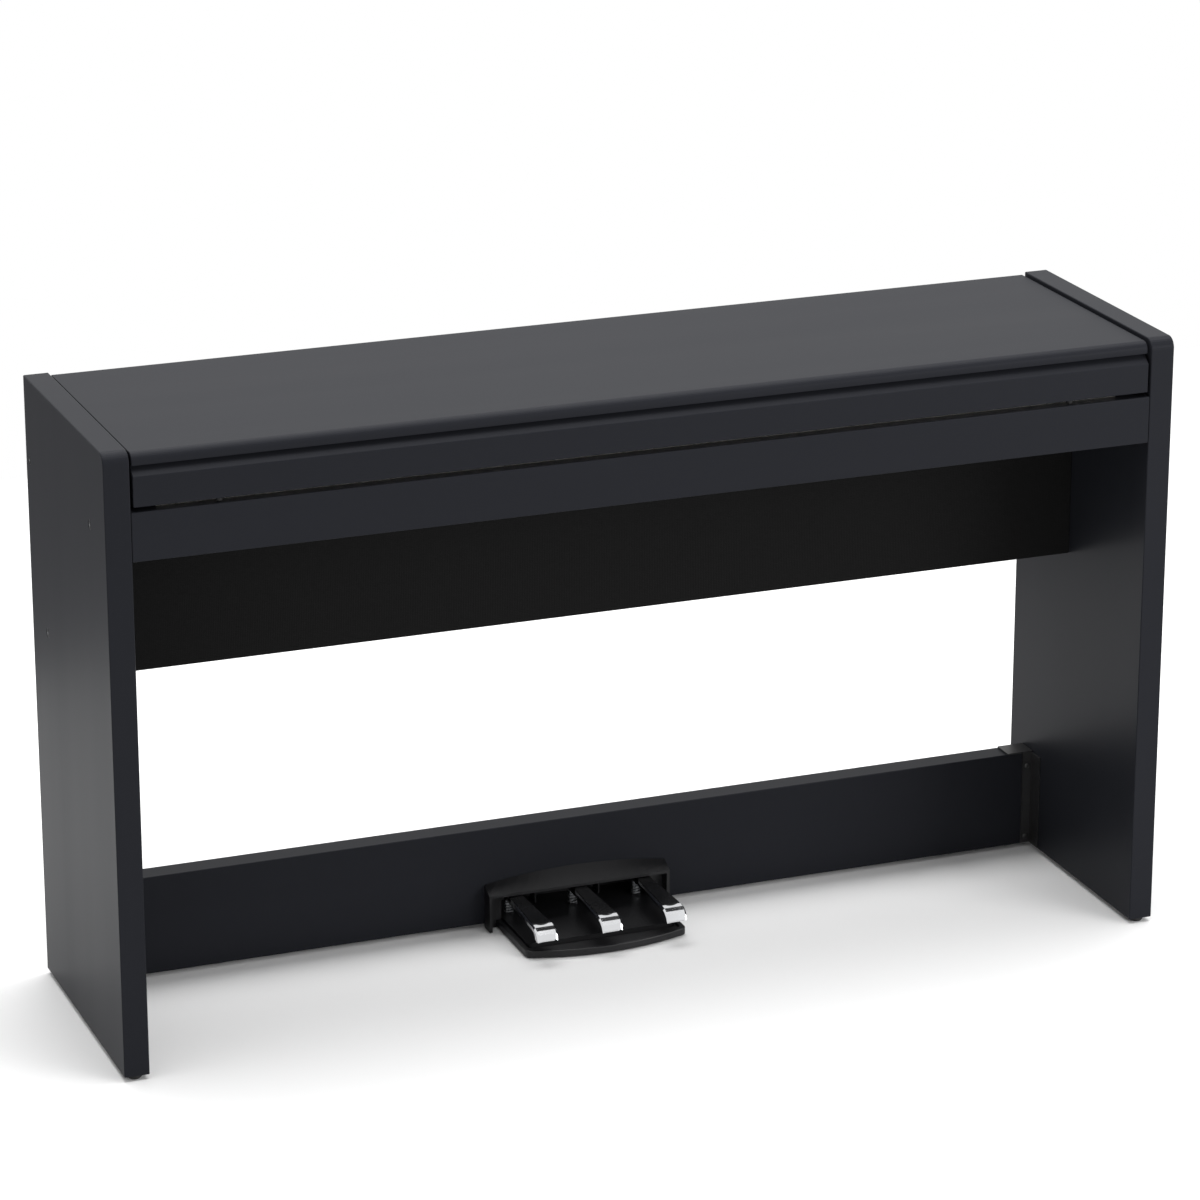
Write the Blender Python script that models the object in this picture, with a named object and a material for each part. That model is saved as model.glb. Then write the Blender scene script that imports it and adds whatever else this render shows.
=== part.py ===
"""Slim cabinet digital piano with a one-piece lid, three pedals and 88 keys, in metres.

X runs along the keyboard, the player sits at -Y and +Z is up. The origin is on the floor, under the middle.
"""

import math

import bmesh
import bpy
from mathutils import Matrix, Vector

# Whole cabinet
WIDTH = 1.355
DEPTH = 0.351
HEIGHT = 0.772
GAP = 0.0003

# Side boards and the glides under them
BOARD_T = 0.031
BOARD_CORNER_R = 0.014
BOARD_EDGE_R = 0.0012
GLIDE_H = 0.006
GLIDE_R = 0.009
GLIDE_FRONT_INSET = 0.0125
GLIDE_REAR_INSET = 0.026
CAP_R = 0.006
CAP_DEPTH = 0.0012
SCREW_R = 0.0045
SCREW_HEAD = 0.0009
UNIT_SCREW_ABOVE_BED = 0.014
FRONT_SCREW_INSET = 0.0665
REAR_SCREW_INSET = 0.0145
BOX_SCREW_ABOVE = 0.033
BOX_SCREW_BEHIND = 0.065

# Lid: a flat board with a round nose, a finger groove and a fascia below it
LID_DROP = 0.0035
LID_T = 0.0145
LID_END_GAP = 0.0035
NOSE_SETBACK = 0.004
NOSE_R = 0.010
GROOVE_DEPTH = 0.0085
GROOVE_H = 0.012
FASCIA_H = 0.036
FASCIA_T = 0.0165
LID_GAP = 0.006
LID_OPEN_CLEAR = 0.004
PIVOT_DROP = 0.0285
ARM_T = 0.004
ARM_R = 0.011
ARM_TOP = 0.060
ARM_FLANGE = 0.022
ARM_FLANGE_T = 0.0025
ARM_SIDE_CLEAR = 0.003
PIVOT_R = 0.004
PIVOT_LEN = 0.008
PIN_CLEAR = 0.0004
BUMPER_R = 0.004
BUMPER_X = 0.540
BUMPER_CLEAR = 0.0006

# Fold-out music ledge on the lid's inner face
LEDGE_W = 0.560
LEDGE_DEPTH = 0.022
LEDGE_T = 0.005
LEDGE_BARREL_R = 0.0032
LEDGE_HINGE_Y = -0.013

# Keyboard unit
RAIL_T = 0.018
RAIL_H = 0.059
BED_T = 0.015
UNIT_DEPTH = 0.235
REAR_WALL_T = 0.006
CHEEK_T = 0.022
CHEEK_FRONT_ABOVE = 0.016
CHEEK_CLEAR = 0.0015
CHEEK_CORNER_R = 0.010

# Keys
PITCH = 0.0235
KEY_SLOT = 0.001
KEY_ABOVE_RAIL = 0.012
KEY_SLIP_GAP = 0.0045
KEY_T = 0.010
KEY_LIP_H = 0.008
KEY_LIP_T = 0.0035
NATURAL_SEEN = 0.150
SHARP_SEEN = 0.0985
SHARP_W = 0.0105
SHARP_TOP_W = 0.0090
SHARP_RISE = 0.012
SHARP_SLOPE = 0.006
SHARP_SIDE_CLEAR = 0.0010
KEY_PIVOT_BEHIND = 0.033
KEY_PIVOT_BELOW = 0.0115
KEY_STEP = 0.010
RAIL_TAB_T = 0.003
TAB_CLEAR = 0.002
TAB_FOOT = 0.006
TAB_START = 0.0045

# Key frame with its fulcrum, front rail and felt
FRAME_FLOOR_T = 0.003
FRAME_RAIL_FROM_FRONT = 0.010
FRAME_RAIL_W = 0.028
FELT_T = 0.0035
FELT_INSET = 0.002
FELT_BELOW_KEY = 0.0095
FULCRUM_W = 0.005
FULCRUM_CLEAR = 0.001

# Control panel, its controls and the board below it
PANEL_T = 0.003
PANEL_TOP_BELOW_LID = 0.014
PANEL_BACK_INSET = 0.003
PANEL_KEY_CLEAR = 0.003
PANEL_CHAMFER = 0.004
PANEL_END_CLEAR = 0.001
POWER_X = 0.560
KNOB_X = -0.560
BUTTON_X = (-0.500, -0.470)
CONTROL_BACK = 0.030
POWER_R = 0.006
BUTTON_W = 0.016
BUTTON_D = 0.007
BUTTON_RISE = 0.0015
BUTTON_FLANGE = 0.0012
KNOB_R = 0.008
KNOB_H = 0.0075
SHAFT_R = 0.003
CONTROL_CLEAR = 0.0004
PCB_T = 0.0016
PCB_DROP = 0.010
PCB_W = 0.300
PCB_D = 0.040
POST_R = 0.003

# Brackets between the unit and the side boards
ANGLE_T = 0.0018
ANGLE_H = 0.030
ANGLE_FOOT = 0.0095
ANGLE_START = 0.045
ANGLE_END = 0.006

# Grille panel and the speaker box behind it
GRILLE_SETBACK = 0.2005
GRILLE_T = 0.0147
GRILLE_SKIN = 0.005
GRILLE_RIM = 0.016
GRILLE_H = 0.204
BAFFLE_T = 0.012
BOX_DEPTH = 0.090
BOX_H = 0.138
BOX_WALL = 0.009
SPEAKER_X = 0.430
SPEAKER_R = 0.050
SPEAKER_HOLE_R = 0.046
CONE_R = 0.040
CONE_DEPTH = 0.016
MAGNET_R = 0.030
MAGNET_T = 0.016
BASKET_DEPTH = 0.040
JACK_X = -0.120
JACK_W = 0.150
JACK_H = 0.040
JACK_T = 0.003
JACK_ABOVE = 0.050
JACK_RING_R = 0.007

# Pedal board and its end brackets
PEDAL_BOARD_T = 0.031
PEDAL_BOARD_H = 0.1285
PEDAL_BOARD_SETBACK = 0.287
END_ANGLE_W = 0.014
END_ANGLE_TOP = 0.036
END_ANGLE_LEG = 0.024
END_SCREW_R = 0.004
END_SCREW_INSET = 0.018
END_SCREW_X = 0.007

# Pedal unit
PEDAL_PITCH = 0.087
PEDAL_LEN = 0.133
PEDAL_TOP = 0.045
PEDAL_T = 0.008
PEDAL_TIP_W = 0.0285
PEDAL_BACK_W = 0.022
AXLE_R = 0.003
AXLE_BEHIND = 0.0385
HUB_R = 0.008
BASE_Z = 0.001
BASE_T = 0.0095
BASE_W = 0.216
BASE_FRONT = 0.1165
BASE_BOW = 0.017
BASE_CORNER_R = 0.010
BASE_RIM = 0.006
BASE_SINK = 0.004
BASE_BACK = 0.0565
PLATFORM_W = 0.200
PLATFORM_FRONT = 0.096
PLATFORM_RISE = 0.002
COVER_W = 0.246
COVER_END_H = 0.0585
ARCH_RISE = 0.010
HOOD_DEPTH = 0.0195
HOOD_LIP_H = 0.0035
HOOD_SIDE_T = 0.004
HOOD_BACK_T = 0.004
COVER_BODY_W = 0.2085
COVER_BODY_H = 0.052
COVER_WALL = 0.0025
COVER_CLEAR = 0.001
HOOD_ABOVE_PEDAL = 0.002
LUG_T = 0.002
LUG_SIDE_CLEAR = 0.0006
LUG_ABOVE_AXLE = 0.007
LUG_D = 0.022
SPRING_R = 0.0055
SPRING_WIRE = 0.0008
SPRING_TURNS = 6
SPRING_FORWARD = 0.030

# Planes worked out from the sizes above
FRONT = -DEPTH / 2
BACK = DEPTH / 2
INNER = WIDTH / 2 - BOARD_T
LID_TOP = HEIGHT - LID_DROP
LID_UNDER = LID_TOP - LID_T
FASCIA_TOP = LID_UNDER - GROOVE_H
LID_BOTTOM = FASCIA_TOP - FASCIA_H
LID_HALF = INNER - LID_END_GAP
RAIL_TOP = LID_BOTTOM - LID_GAP
BED_BOTTOM = RAIL_TOP - RAIL_H
BED_TOP = BED_BOTTOM + BED_T
UNIT_BACK = FRONT + UNIT_DEPTH
PIVOT_Z = LID_UNDER - PIVOT_DROP
PIVOT_Y = UNIT_BACK + LID_OPEN_CLEAR - PIVOT_DROP
KEYS_HALF = 26 * PITCH
CHEEK_IN = KEYS_HALF + CHEEK_CLEAR
CHEEK_OUT = CHEEK_IN + CHEEK_T
ARM_IN = CHEEK_OUT + ARM_SIDE_CLEAR
WALL_FRONT = UNIT_BACK - REAR_WALL_T
KEY_FRONT = FRONT + RAIL_T + KEY_SLIP_GAP
KEY_TOP = RAIL_TOP + KEY_ABOVE_RAIL
KEY_BOTTOM = KEY_TOP - KEY_T
PANEL_FRONT = KEY_FRONT + NATURAL_SEEN
PANEL_TOP = LID_UNDER - PANEL_TOP_BELOW_LID
SHARP_FRONT = PANEL_FRONT - SHARP_SEEN
KEY_PIVOT_Y = PANEL_FRONT + KEY_PIVOT_BEHIND
KEY_PIVOT_Z = KEY_TOP - KEY_PIVOT_BELOW
CONTROL_Y = PANEL_FRONT + CONTROL_BACK
PCB_TOP = PANEL_TOP - PANEL_T - PCB_DROP
GRILLE_FRONT = FRONT + GRILLE_SETBACK
GRILLE_TOP = BED_BOTTOM - GAP
GRILLE_BOTTOM = GRILLE_TOP - GRILLE_H
BAFFLE_FRONT = GRILLE_FRONT + GRILLE_T + GAP
BOX_BACK = BAFFLE_FRONT + BOX_DEPTH
BOX_TOP = GRILLE_BOTTOM + BOX_H
SPEAKER_Z = GRILLE_BOTTOM + BOX_H / 2
PEDAL_BOARD_FRONT = FRONT + PEDAL_BOARD_SETBACK
PEDAL_BOARD_BACK = PEDAL_BOARD_FRONT + PEDAL_BOARD_T
PEDAL_BOARD_TOP = GLIDE_H + PEDAL_BOARD_H
UNIT_FACE = PEDAL_BOARD_FRONT - GAP
BASE_TOP = BASE_Z + BASE_T
AXLE_Y = PEDAL_BOARD_FRONT + AXLE_BEHIND
AXLE_Z = PEDAL_TOP - PEDAL_T / 2
COVER_BACK = PEDAL_BOARD_FRONT + BASE_BACK - COVER_WALL


def clear_scene():
    for thing in list(bpy.data.objects):
        bpy.data.objects.remove(thing)


def material(name, shade, roughness, metallic=0.0):
    """A Principled material from an sRGB colour of 0 to 255."""
    made = bpy.data.materials.new(name)
    made.use_nodes = True
    shader = made.node_tree.nodes["Principled BSDF"]
    linear = [((c / 255 + 0.055) / 1.055) ** 2.4 if c > 10 else c / 255 / 12.92 for c in shade]
    shader.inputs["Base Color"].default_value = (*linear, 1.0)
    shader.inputs["Roughness"].default_value = roughness
    shader.inputs["Metallic"].default_value = metallic
    return made


def finish(name, bm, made, origin=(0.0, 0.0, 0.0)):
    """Closes a bmesh into a named object whose origin lies at the given world point."""
    bmesh.ops.recalc_face_normals(bm, faces=bm.faces)
    bmesh.ops.translate(bm, verts=bm.verts, vec=-Vector(origin))
    mesh = bpy.data.meshes.new(name)
    bm.to_mesh(mesh)
    bm.free()
    thing = bpy.data.objects.new(name, mesh)
    thing.location = origin
    if made is not None:
        mesh.materials.append(made)
    bpy.context.collection.objects.link(thing)
    return thing


def extrude_outline(bm, points, vector):
    """Fills the 3-D points as one face and extrudes it along the vector."""
    face = bm.faces.new([bm.verts.new(p) for p in points])
    grown = bmesh.ops.extrude_face_region(bm, geom=[face])
    moved = [g for g in grown["geom"] if isinstance(g, bmesh.types.BMVert)]
    bmesh.ops.translate(bm, verts=moved, vec=vector)


def prism_x(bm, outline, x0, x1):
    """Extrudes a (y, z) outline from x0 to x1."""
    extrude_outline(bm, [(x0, y, z) for y, z in outline], (x1 - x0, 0, 0))


def prism_y(bm, outline, y0, y1):
    """Extrudes an (x, z) outline from y0 to y1."""
    extrude_outline(bm, [(x, y0, z) for x, z in outline], (0, y1 - y0, 0))


def prism_z(bm, outline, z0, z1):
    """Extrudes an (x, y) outline from z0 to z1."""
    extrude_outline(bm, [(x, y, z0) for x, y in outline], (0, 0, z1 - z0))


def block(bm, x, y, z):
    """A rectangular block between the pairs of limits."""
    prism_z(bm, [(x[0], y[0]), (x[1], y[0]), (x[1], y[1]), (x[0], y[1])], z[0], z[1])


def arc(centre, radius, start, end, steps):
    """Points on an arc, in degrees, both ends included."""
    turns = [math.radians(start + (end - start) * i / steps) for i in range(steps + 1)]
    return [(centre[0] + radius * math.cos(t), centre[1] + radius * math.sin(t)) for t in turns]


def rounded(x0, x1, y0, y1, radius, steps=4):
    """A rectangle with round corners, anticlockwise."""
    corners = ((x1 - radius, y0 + radius, -90), (x1 - radius, y1 - radius, 0),
               (x0 + radius, y1 - radius, 90), (x0 + radius, y0 + radius, 180))
    return [p for x, y, a in corners for p in arc((x, y), radius, a, a + 90, steps)]


def turned(bm, profile, centre, axis="Z", steps=24):
    """Spins a (radius, height) profile, whose ends lie on the axis, into a solid round it."""
    spun = bmesh.new()
    verts = [spun.verts.new((r, 0, h)) for r, h in profile]
    edges = [spun.edges.new(pair) for pair in zip(verts, verts[1:])]
    bmesh.ops.spin(spun, geom=verts + edges, cent=(0, 0, 0), axis=(0, 0, 1), angle=math.tau, steps=steps)
    bmesh.ops.remove_doubles(spun, verts=spun.verts, dist=1e-6)
    turn = {"Z": Matrix.Identity(3), "X": Matrix.Rotation(math.pi / 2, 3, "Y"),
            "Y": Matrix.Rotation(-math.pi / 2, 3, "X")}[axis]
    bmesh.ops.rotate(spun, verts=spun.verts, cent=(0, 0, 0), matrix=turn)
    bmesh.ops.translate(spun, verts=spun.verts, vec=centre)
    mesh = bpy.data.meshes.new("turned")
    spun.to_mesh(mesh)
    spun.free()
    bm.from_mesh(mesh)
    bpy.data.meshes.remove(mesh)


def bevelled(thing, width, segments=2, angle=35):
    """Rounds a piece's sharp edges."""
    made = thing.modifiers.new("edges", "BEVEL")
    made.width = width
    made.segments = segments
    made.limit_method = "ANGLE"
    made.angle_limit = math.radians(angle)
    return thing


def guide(name, bm):
    """A hidden shape that only cuts or joins another."""
    thing = finish(name, bm, None)
    thing.hide_render = True
    thing.display_type = "WIRE"
    return thing


def combined(thing, other, operation):
    made = thing.modifiers.new(operation.lower(), "BOOLEAN")
    made.operation = operation
    made.object = other
    made.solver = "EXACT"
    return thing


def smooth(thing, angle=35):
    thing.data.shade_smooth()
    thing.data.set_sharp_from_angle(angle=math.radians(angle))
    return thing


def screw_places():
    """(y, z) of the three screws that show on each side board."""
    unit_z = BED_TOP + UNIT_SCREW_ABOVE_BED
    return ((FRONT + FRONT_SCREW_INSET, unit_z), (BACK - REAR_SCREW_INSET, unit_z),
            (BAFFLE_FRONT + BOX_SCREW_BEHIND, GRILLE_BOTTOM + BOX_SCREW_ABOVE))


def side_board(name, side, made):
    """A slab with a round front top corner and three sunk screws on its outer face."""
    top = HEIGHT
    outline = [(BACK, GLIDE_H), (BACK, top)]
    outline += arc((FRONT + BOARD_CORNER_R, top - BOARD_CORNER_R), BOARD_CORNER_R, 90, 180, 8)
    outline.append((FRONT, GLIDE_H))
    outer = side * WIDTH / 2
    bm = bmesh.new()
    prism_x(bm, outline, side * INNER, outer)
    board = bevelled(finish(name, bm, made), BOARD_EDGE_R)
    sinks, heads = bmesh.new(), bmesh.new()
    for y, z in screw_places():
        at = (outer - side * CAP_DEPTH, y, z)
        length = side * 2 * CAP_DEPTH
        turned(sinks, [(0, 0), (CAP_R, 0), (CAP_R, length), (0, length)], at, "X", 16)
        head = [(0, -GAP * side * 2), (SCREW_R, -GAP * side * 2), (SCREW_R, side * SCREW_HEAD / 2),
                (SCREW_R * 0.7, side * SCREW_HEAD), (0, side * SCREW_HEAD)]
        turned(heads, head, at, "X", 16)
    combined(board, guide(name + "_sinks", sinks), "DIFFERENCE")
    combined(board, guide(name + "_heads", heads), "UNION")
    return board


def glide(name, x, y, made):
    """A round foot with a soft lower edge."""
    top = GLIDE_H - GAP
    profile = [(0, 0), (GLIDE_R * 0.8, 0), (GLIDE_R, top * 0.4), (GLIDE_R, top), (0, top)]
    bm = bmesh.new()
    turned(bm, profile, (x, y, 0), steps=20)
    return smooth(finish(name, bm, made))


def lid_outline():
    """The lid's side view: board, round nose, finger groove and fascia."""
    nose = FRONT + NOSE_SETBACK
    points = [(BACK, LID_TOP), (BACK, LID_UNDER)]
    points += [(FRONT + FASCIA_T, LID_UNDER), (FRONT + FASCIA_T, LID_BOTTOM)]
    points += [(FRONT, LID_BOTTOM), (FRONT, FASCIA_TOP)]
    points += [(nose + GROOVE_DEPTH, LID_UNDER - BOARD_EDGE_R), (nose, LID_UNDER)]
    points += arc((nose + NOSE_R, LID_TOP - NOSE_R), NOSE_R, 180, 90, 8)
    return points


def lid(made):
    bm = bmesh.new()
    prism_x(bm, lid_outline(), -LID_HALF, LID_HALF)
    return bevelled(finish("lid", bm, made, (0, PIVOT_Y, PIVOT_Z)), BOARD_EDGE_R / 2, 1)


def lid_arm(name, side, made):
    """A steel arm under the lid's end: a flange, a tapered plate and a pivot stub."""
    top = LID_UNDER - GAP
    half = ARM_TOP / 2
    outline = [(PIVOT_Y - half, top), (PIVOT_Y - half, top - ARM_FLANGE_T)]
    outline += arc((PIVOT_Y, PIVOT_Z), ARM_R, 200, 340, 10)
    outline += [(PIVOT_Y + half, top - ARM_FLANGE_T), (PIVOT_Y + half, top)]
    bm = bmesh.new()
    prism_x(bm, outline, side * ARM_IN, side * (ARM_IN + ARM_T))
    arm = finish(name, bm, made, (side * ARM_IN, PIVOT_Y, PIVOT_Z))
    more = bmesh.new()
    block(more, sorted((side * (ARM_IN - ARM_FLANGE), side * (ARM_IN + ARM_T / 2))),
          (PIVOT_Y - half, PIVOT_Y + half), (top - ARM_FLANGE_T, top))
    stub = [(0, 0), (PIVOT_R, 0), (PIVOT_R, -side * (PIVOT_LEN + ARM_SIDE_CLEAR + ARM_T / 2)),
            (0, -side * (PIVOT_LEN + ARM_SIDE_CLEAR + ARM_T / 2))]
    pin = bmesh.new()
    turned(pin, stub, (side * (ARM_IN + ARM_T / 2), PIVOT_Y, PIVOT_Z), "X", 20)
    combined(arm, guide(name + "_flange", more), "UNION")
    combined(arm, guide(name + "_stub", pin), "UNION")
    return arm


def bumper(name, x, made):
    top = LID_BOTTOM - GAP
    low = RAIL_TOP + BUMPER_CLEAR
    bm = bmesh.new()
    profile = [(0, low), (BUMPER_R * 0.75, low), (BUMPER_R, low + (top - low) / 3), (BUMPER_R, top), (0, top)]
    turned(bm, profile, (x, FRONT + FASCIA_T / 2, 0), steps=14)
    return smooth(finish(name, bm, made))


def music_ledge(made):
    """A narrow flap that lies against the lid's inner face and folds out square to it."""
    top = LID_UNDER - GAP
    centre = (LEDGE_HINGE_Y, top - LEDGE_BARREL_R)
    front = LEDGE_HINGE_Y - LEDGE_DEPTH
    outline = arc(centre, LEDGE_BARREL_R, -110, 90, 8)
    outline += [(front, top), (front, top - LEDGE_T), (front + LEDGE_T, top - LEDGE_T)]
    bm = bmesh.new()
    prism_x(bm, outline, -LEDGE_W / 2, LEDGE_W / 2)
    return smooth(finish("music_ledge", bm, made, (0, centre[0], centre[1])))


def front_rail(made):
    bm = bmesh.new()
    block(bm, (-INNER + GAP, INNER - GAP), (FRONT, FRONT + RAIL_T), (BED_BOTTOM, RAIL_TOP))
    return bevelled(finish("front_rail", bm, made), BOARD_EDGE_R)


def key_bed(made):
    bm = bmesh.new()
    block(bm, (-INNER + GAP, INNER - GAP), (FRONT + RAIL_T + GAP, UNIT_BACK), (BED_BOTTOM, BED_TOP))
    return finish("key_bed", bm, made)


def rear_wall(made):
    bm = bmesh.new()
    block(bm, (-CHEEK_IN, CHEEK_IN), (WALL_FRONT, UNIT_BACK), (BED_TOP + GAP, PANEL_TOP - PANEL_T - GAP))
    return finish("rear_wall", bm, made)


def cheek_block(name, side, made):
    """The end block beside the keys: low and round in front, level with the panel behind."""
    low = BED_TOP + GAP
    step = KEY_TOP + CHEEK_FRONT_ABOVE
    front = FRONT + RAIL_T + GAP
    r = CHEEK_CORNER_R
    rise = PANEL_TOP - step
    outline = [(WALL_FRONT - GAP, low), (WALL_FRONT - GAP, PANEL_TOP), (PANEL_FRONT, PANEL_TOP)]
    outline += [(PANEL_FRONT - rise * t, step + rise * (1 - t) ** 2) for t in (0.25, 0.5, 0.75, 1.0)]
    outline += arc((front + r, step - r), r, 90, 180, 6)
    outline.append((front, low))
    bm = bmesh.new()
    prism_x(bm, outline, side * CHEEK_IN, side * CHEEK_OUT)
    cheek = bevelled(finish(name, bm, made), BOARD_EDGE_R / 2, 1)
    bore = bmesh.new()
    hole = PIVOT_R + PIN_CLEAR
    depth = -side * (PIVOT_LEN + PIN_CLEAR)
    turned(bore, [(0, side * GAP * 4), (hole, side * GAP * 4), (hole, depth), (0, depth)],
           (side * CHEEK_OUT, PIVOT_Y, PIVOT_Z), "X", 20)
    return combined(cheek, guide(name + "_bore", bore), "DIFFERENCE")


def key_frame(made):
    """The chassis in side view: floor, front rail for the felt and the rear fulcrum ridge."""
    low = BED_TOP + GAP
    floor = low + FRAME_FLOOR_T
    rail_front = KEY_FRONT + FRAME_RAIL_FROM_FRONT
    rail_top = KEY_BOTTOM - FELT_BELOW_KEY - FELT_T - GAP
    ridge = FULCRUM_W / 2
    ridge_top = KEY_BOTTOM - FULCRUM_CLEAR
    shoulder = KEY_BOTTOM - KEY_STEP - RAIL_TAB_T - TAB_CLEAR - TAB_CLEAR
    back = WALL_FRONT - GAP
    outline = [(rail_front, low), (back, low), (back, shoulder), (KEY_PIVOT_Y + ridge, shoulder)]
    outline += arc((KEY_PIVOT_Y, ridge_top - ridge), ridge, 0, 180, 6)
    outline += [(KEY_PIVOT_Y - ridge, shoulder), (KEY_PIVOT_Y - 4 * ridge, floor)]
    outline += [(rail_front + FRAME_RAIL_W + FRAME_FLOOR_T, floor), (rail_front + FRAME_RAIL_W, rail_top)]
    outline.append((rail_front, rail_top))
    bm = bmesh.new()
    prism_x(bm, outline, -KEYS_HALF, KEYS_HALF)
    return finish("key_frame", bm, made)


def key_felt(made):
    top = KEY_BOTTOM - FELT_BELOW_KEY
    front = KEY_FRONT + FRAME_RAIL_FROM_FRONT
    bm = bmesh.new()
    block(bm, (-KEYS_HALF + FELT_INSET, KEYS_HALF - FELT_INSET),
          (front + FELT_INSET, front + FRAME_RAIL_W - FELT_INSET), (top - FELT_T, top))
    return finish("key_felt", bm, made)


def keyboard():
    """Every key as (name, is sharp, left edge or centre, left cut, right cut), from A0 to C8."""
    shift = {"Cs": -0.0022, "Ds": 0.0022, "Fs": -0.0030, "Gs": 0.0, "As": 0.0030}
    order = ("C", "Cs", "D", "Ds", "E", "F", "Fs", "G", "Gs", "A", "As", "B")
    keys, x = [], -KEYS_HALF
    for number in range(9, 97):
        octave, tone = divmod(number, 12)
        note = order[tone]
        if note in shift:
            keys.append([f"{note}{octave}", True, x + shift[note], 0.0, 0.0])
        else:
            keys.append([f"{note}{octave}", False, x, 0.0, 0.0])
            x += PITCH
    half = SHARP_W / 2 + SHARP_SIDE_CLEAR
    for i, key in enumerate(keys):
        if not key[1]:
            if i > 0 and keys[i - 1][1]:
                key[3] = keys[i - 1][2] + half - key[2]
            if i + 1 < len(keys) and keys[i + 1][1]:
                key[4] = key[2] + PITCH - keys[i + 1][2] + half
    return keys


def natural(bm, left, cut_left, cut_right, back, foot=0.0):
    """A white key: notched outline, front lip and, in a moulded set, a foot at its back end."""
    x0, x1 = left + KEY_SLOT / 2, left + PITCH - KEY_SLOT / 2
    waist = SHARP_FRONT - KEY_SLOT
    l0 = max(left + cut_left, x0)
    r0 = min(left + PITCH - cut_right, x1)
    lip = KEY_FRONT + KEY_LIP_T
    heel = back - TAB_FOOT
    right = [(x1, KEY_FRONT), (x1, lip)] + ([(x1, waist), (r0, waist)] if cut_right else [])
    left_side = ([(l0, waist), (x0, waist)] if cut_left else []) + [(x0, lip), (x0, KEY_FRONT)]
    ends = ([(r0, heel), (r0, back), (l0, back), (l0, heel)] if foot else [(r0, back), (l0, back)])
    outline = right + ends + left_side
    top = [bm.verts.new((x, y, KEY_TOP)) for x, y in outline]
    low = [bm.verts.new((x, y, KEY_BOTTOM)) for x, y in outline]
    count = len(outline)
    bm.faces.new(top)
    for i in range(count):
        bm.faces.new((top[i], low[i], low[(i + 1) % count], top[(i + 1) % count]))
    front_strip = bm.faces.new((low[0], low[1], low[-2], low[-1]))
    drops = [(front_strip, -KEY_LIP_H)]
    if foot:
        i = len(right)
        drops.append((bm.faces.new(low[i:i + 4]), -foot))
        bm.faces.new(low[1:i + 1] + low[i + 3:-1])
    else:
        bm.faces.new(low[1:-1])
    for face, fall in drops:
        grown = bmesh.ops.extrude_face_region(bm, geom=[face])
        moved = [g for g in grown["geom"] if isinstance(g, bmesh.types.BMVert)]
        bmesh.ops.translate(bm, verts=moved, vec=(0, 0, fall))
        bmesh.ops.delete(bm, geom=[face], context="FACES_ONLY") if face.is_valid else None


def sharp(bm, centre, back, foot=0.0):
    """A black key: a tapered ridge with a sloped front, then a low tail under the panel."""
    top = KEY_TOP + SHARP_RISE
    tail = KEY_TOP - KEY_SLOT
    end = PANEL_FRONT - KEY_SLOT
    profile = [(SHARP_FRONT, KEY_BOTTOM), (SHARP_FRONT, KEY_TOP), (SHARP_FRONT + SHARP_SLOPE, top),
               (end, top), (end, tail), (back, tail)]
    profile += [(back, KEY_BOTTOM - foot), (back - TAB_FOOT, KEY_BOTTOM - foot), (back - TAB_FOOT, KEY_BOTTOM)] \
        if foot else [(back, KEY_BOTTOM)]

    def half(z):
        share = max(0.0, (z - KEY_TOP) / SHARP_RISE)
        return (SHARP_W * (1 - share) + SHARP_TOP_W * share) / 2

    sides = [[bm.verts.new((centre + s * half(z), y, z)) for y, z in profile] for s in (-1, 1)]
    count = len(profile)
    bm.faces.new(sides[0])
    bm.faces.new(sides[1][::-1])
    for i in range(count):
        j = (i + 1) % count
        bm.faces.new((sides[0][i], sides[0][j], sides[1][j], sides[1][i]))


def key_set(name, keys, is_sharp, made):
    """A moulded set of keys on one tab along the back, which bends in the real set."""
    picked = [k for k in keys if k[1] == is_sharp]
    low_step = KEY_STEP if not is_sharp else KEY_STEP - RAIL_TAB_T - TAB_CLEAR
    tab_start = KEY_PIVOT_Y + TAB_START + (0 if not is_sharp else TAB_FOOT + TAB_CLEAR)
    back = tab_start + TAB_FOOT
    tab_end = WALL_FRONT - TAB_CLEAR
    tab_low = KEY_BOTTOM - low_step - RAIL_TAB_T
    bm = bmesh.new()
    for key in picked:
        if is_sharp:
            sharp(bm, key[2], back, low_step + RAIL_TAB_T / 2)
        else:
            natural(bm, key[2], key[3], key[4], back, low_step + RAIL_TAB_T / 2)
    made_set = finish(name, bm, made, (0, KEY_PIVOT_Y, KEY_PIVOT_Z))
    xs = [k[2] for k in picked]
    ends = (min(xs) - SHARP_W / 2, max(xs) + SHARP_W / 2) if is_sharp else (min(xs) + KEY_SLOT, max(xs) + PITCH - KEY_SLOT)
    tab = bmesh.new()
    block(tab, ends, (tab_start - GAP, tab_end), (tab_low, tab_low + RAIL_TAB_T))
    return combined(made_set, guide(name + "_tab", tab), "UNION")


def keys_made(white, black):
    """The middle octave key by key, and the rest as moulded sets below and above it."""
    keys = keyboard()
    sides = ("bass", keys[:39]), ("treble", keys[51:])
    for side, group in sides:
        key_set(f"naturals_{side}", group, False, white)
        key_set(f"sharps_{side}", group, True, black)
    back = KEY_PIVOT_Y + TAB_START
    for name, is_sharp, x, cut_left, cut_right in keys[39:51]:
        bm = bmesh.new()
        if is_sharp:
            sharp(bm, x, back)
        else:
            natural(bm, x, cut_left, cut_right, back)
        middle = x if is_sharp else x + PITCH / 2
        finish(f"key_{name}", bm, black if is_sharp else white, (middle, KEY_PIVOT_Y, KEY_PIVOT_Z))


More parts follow.
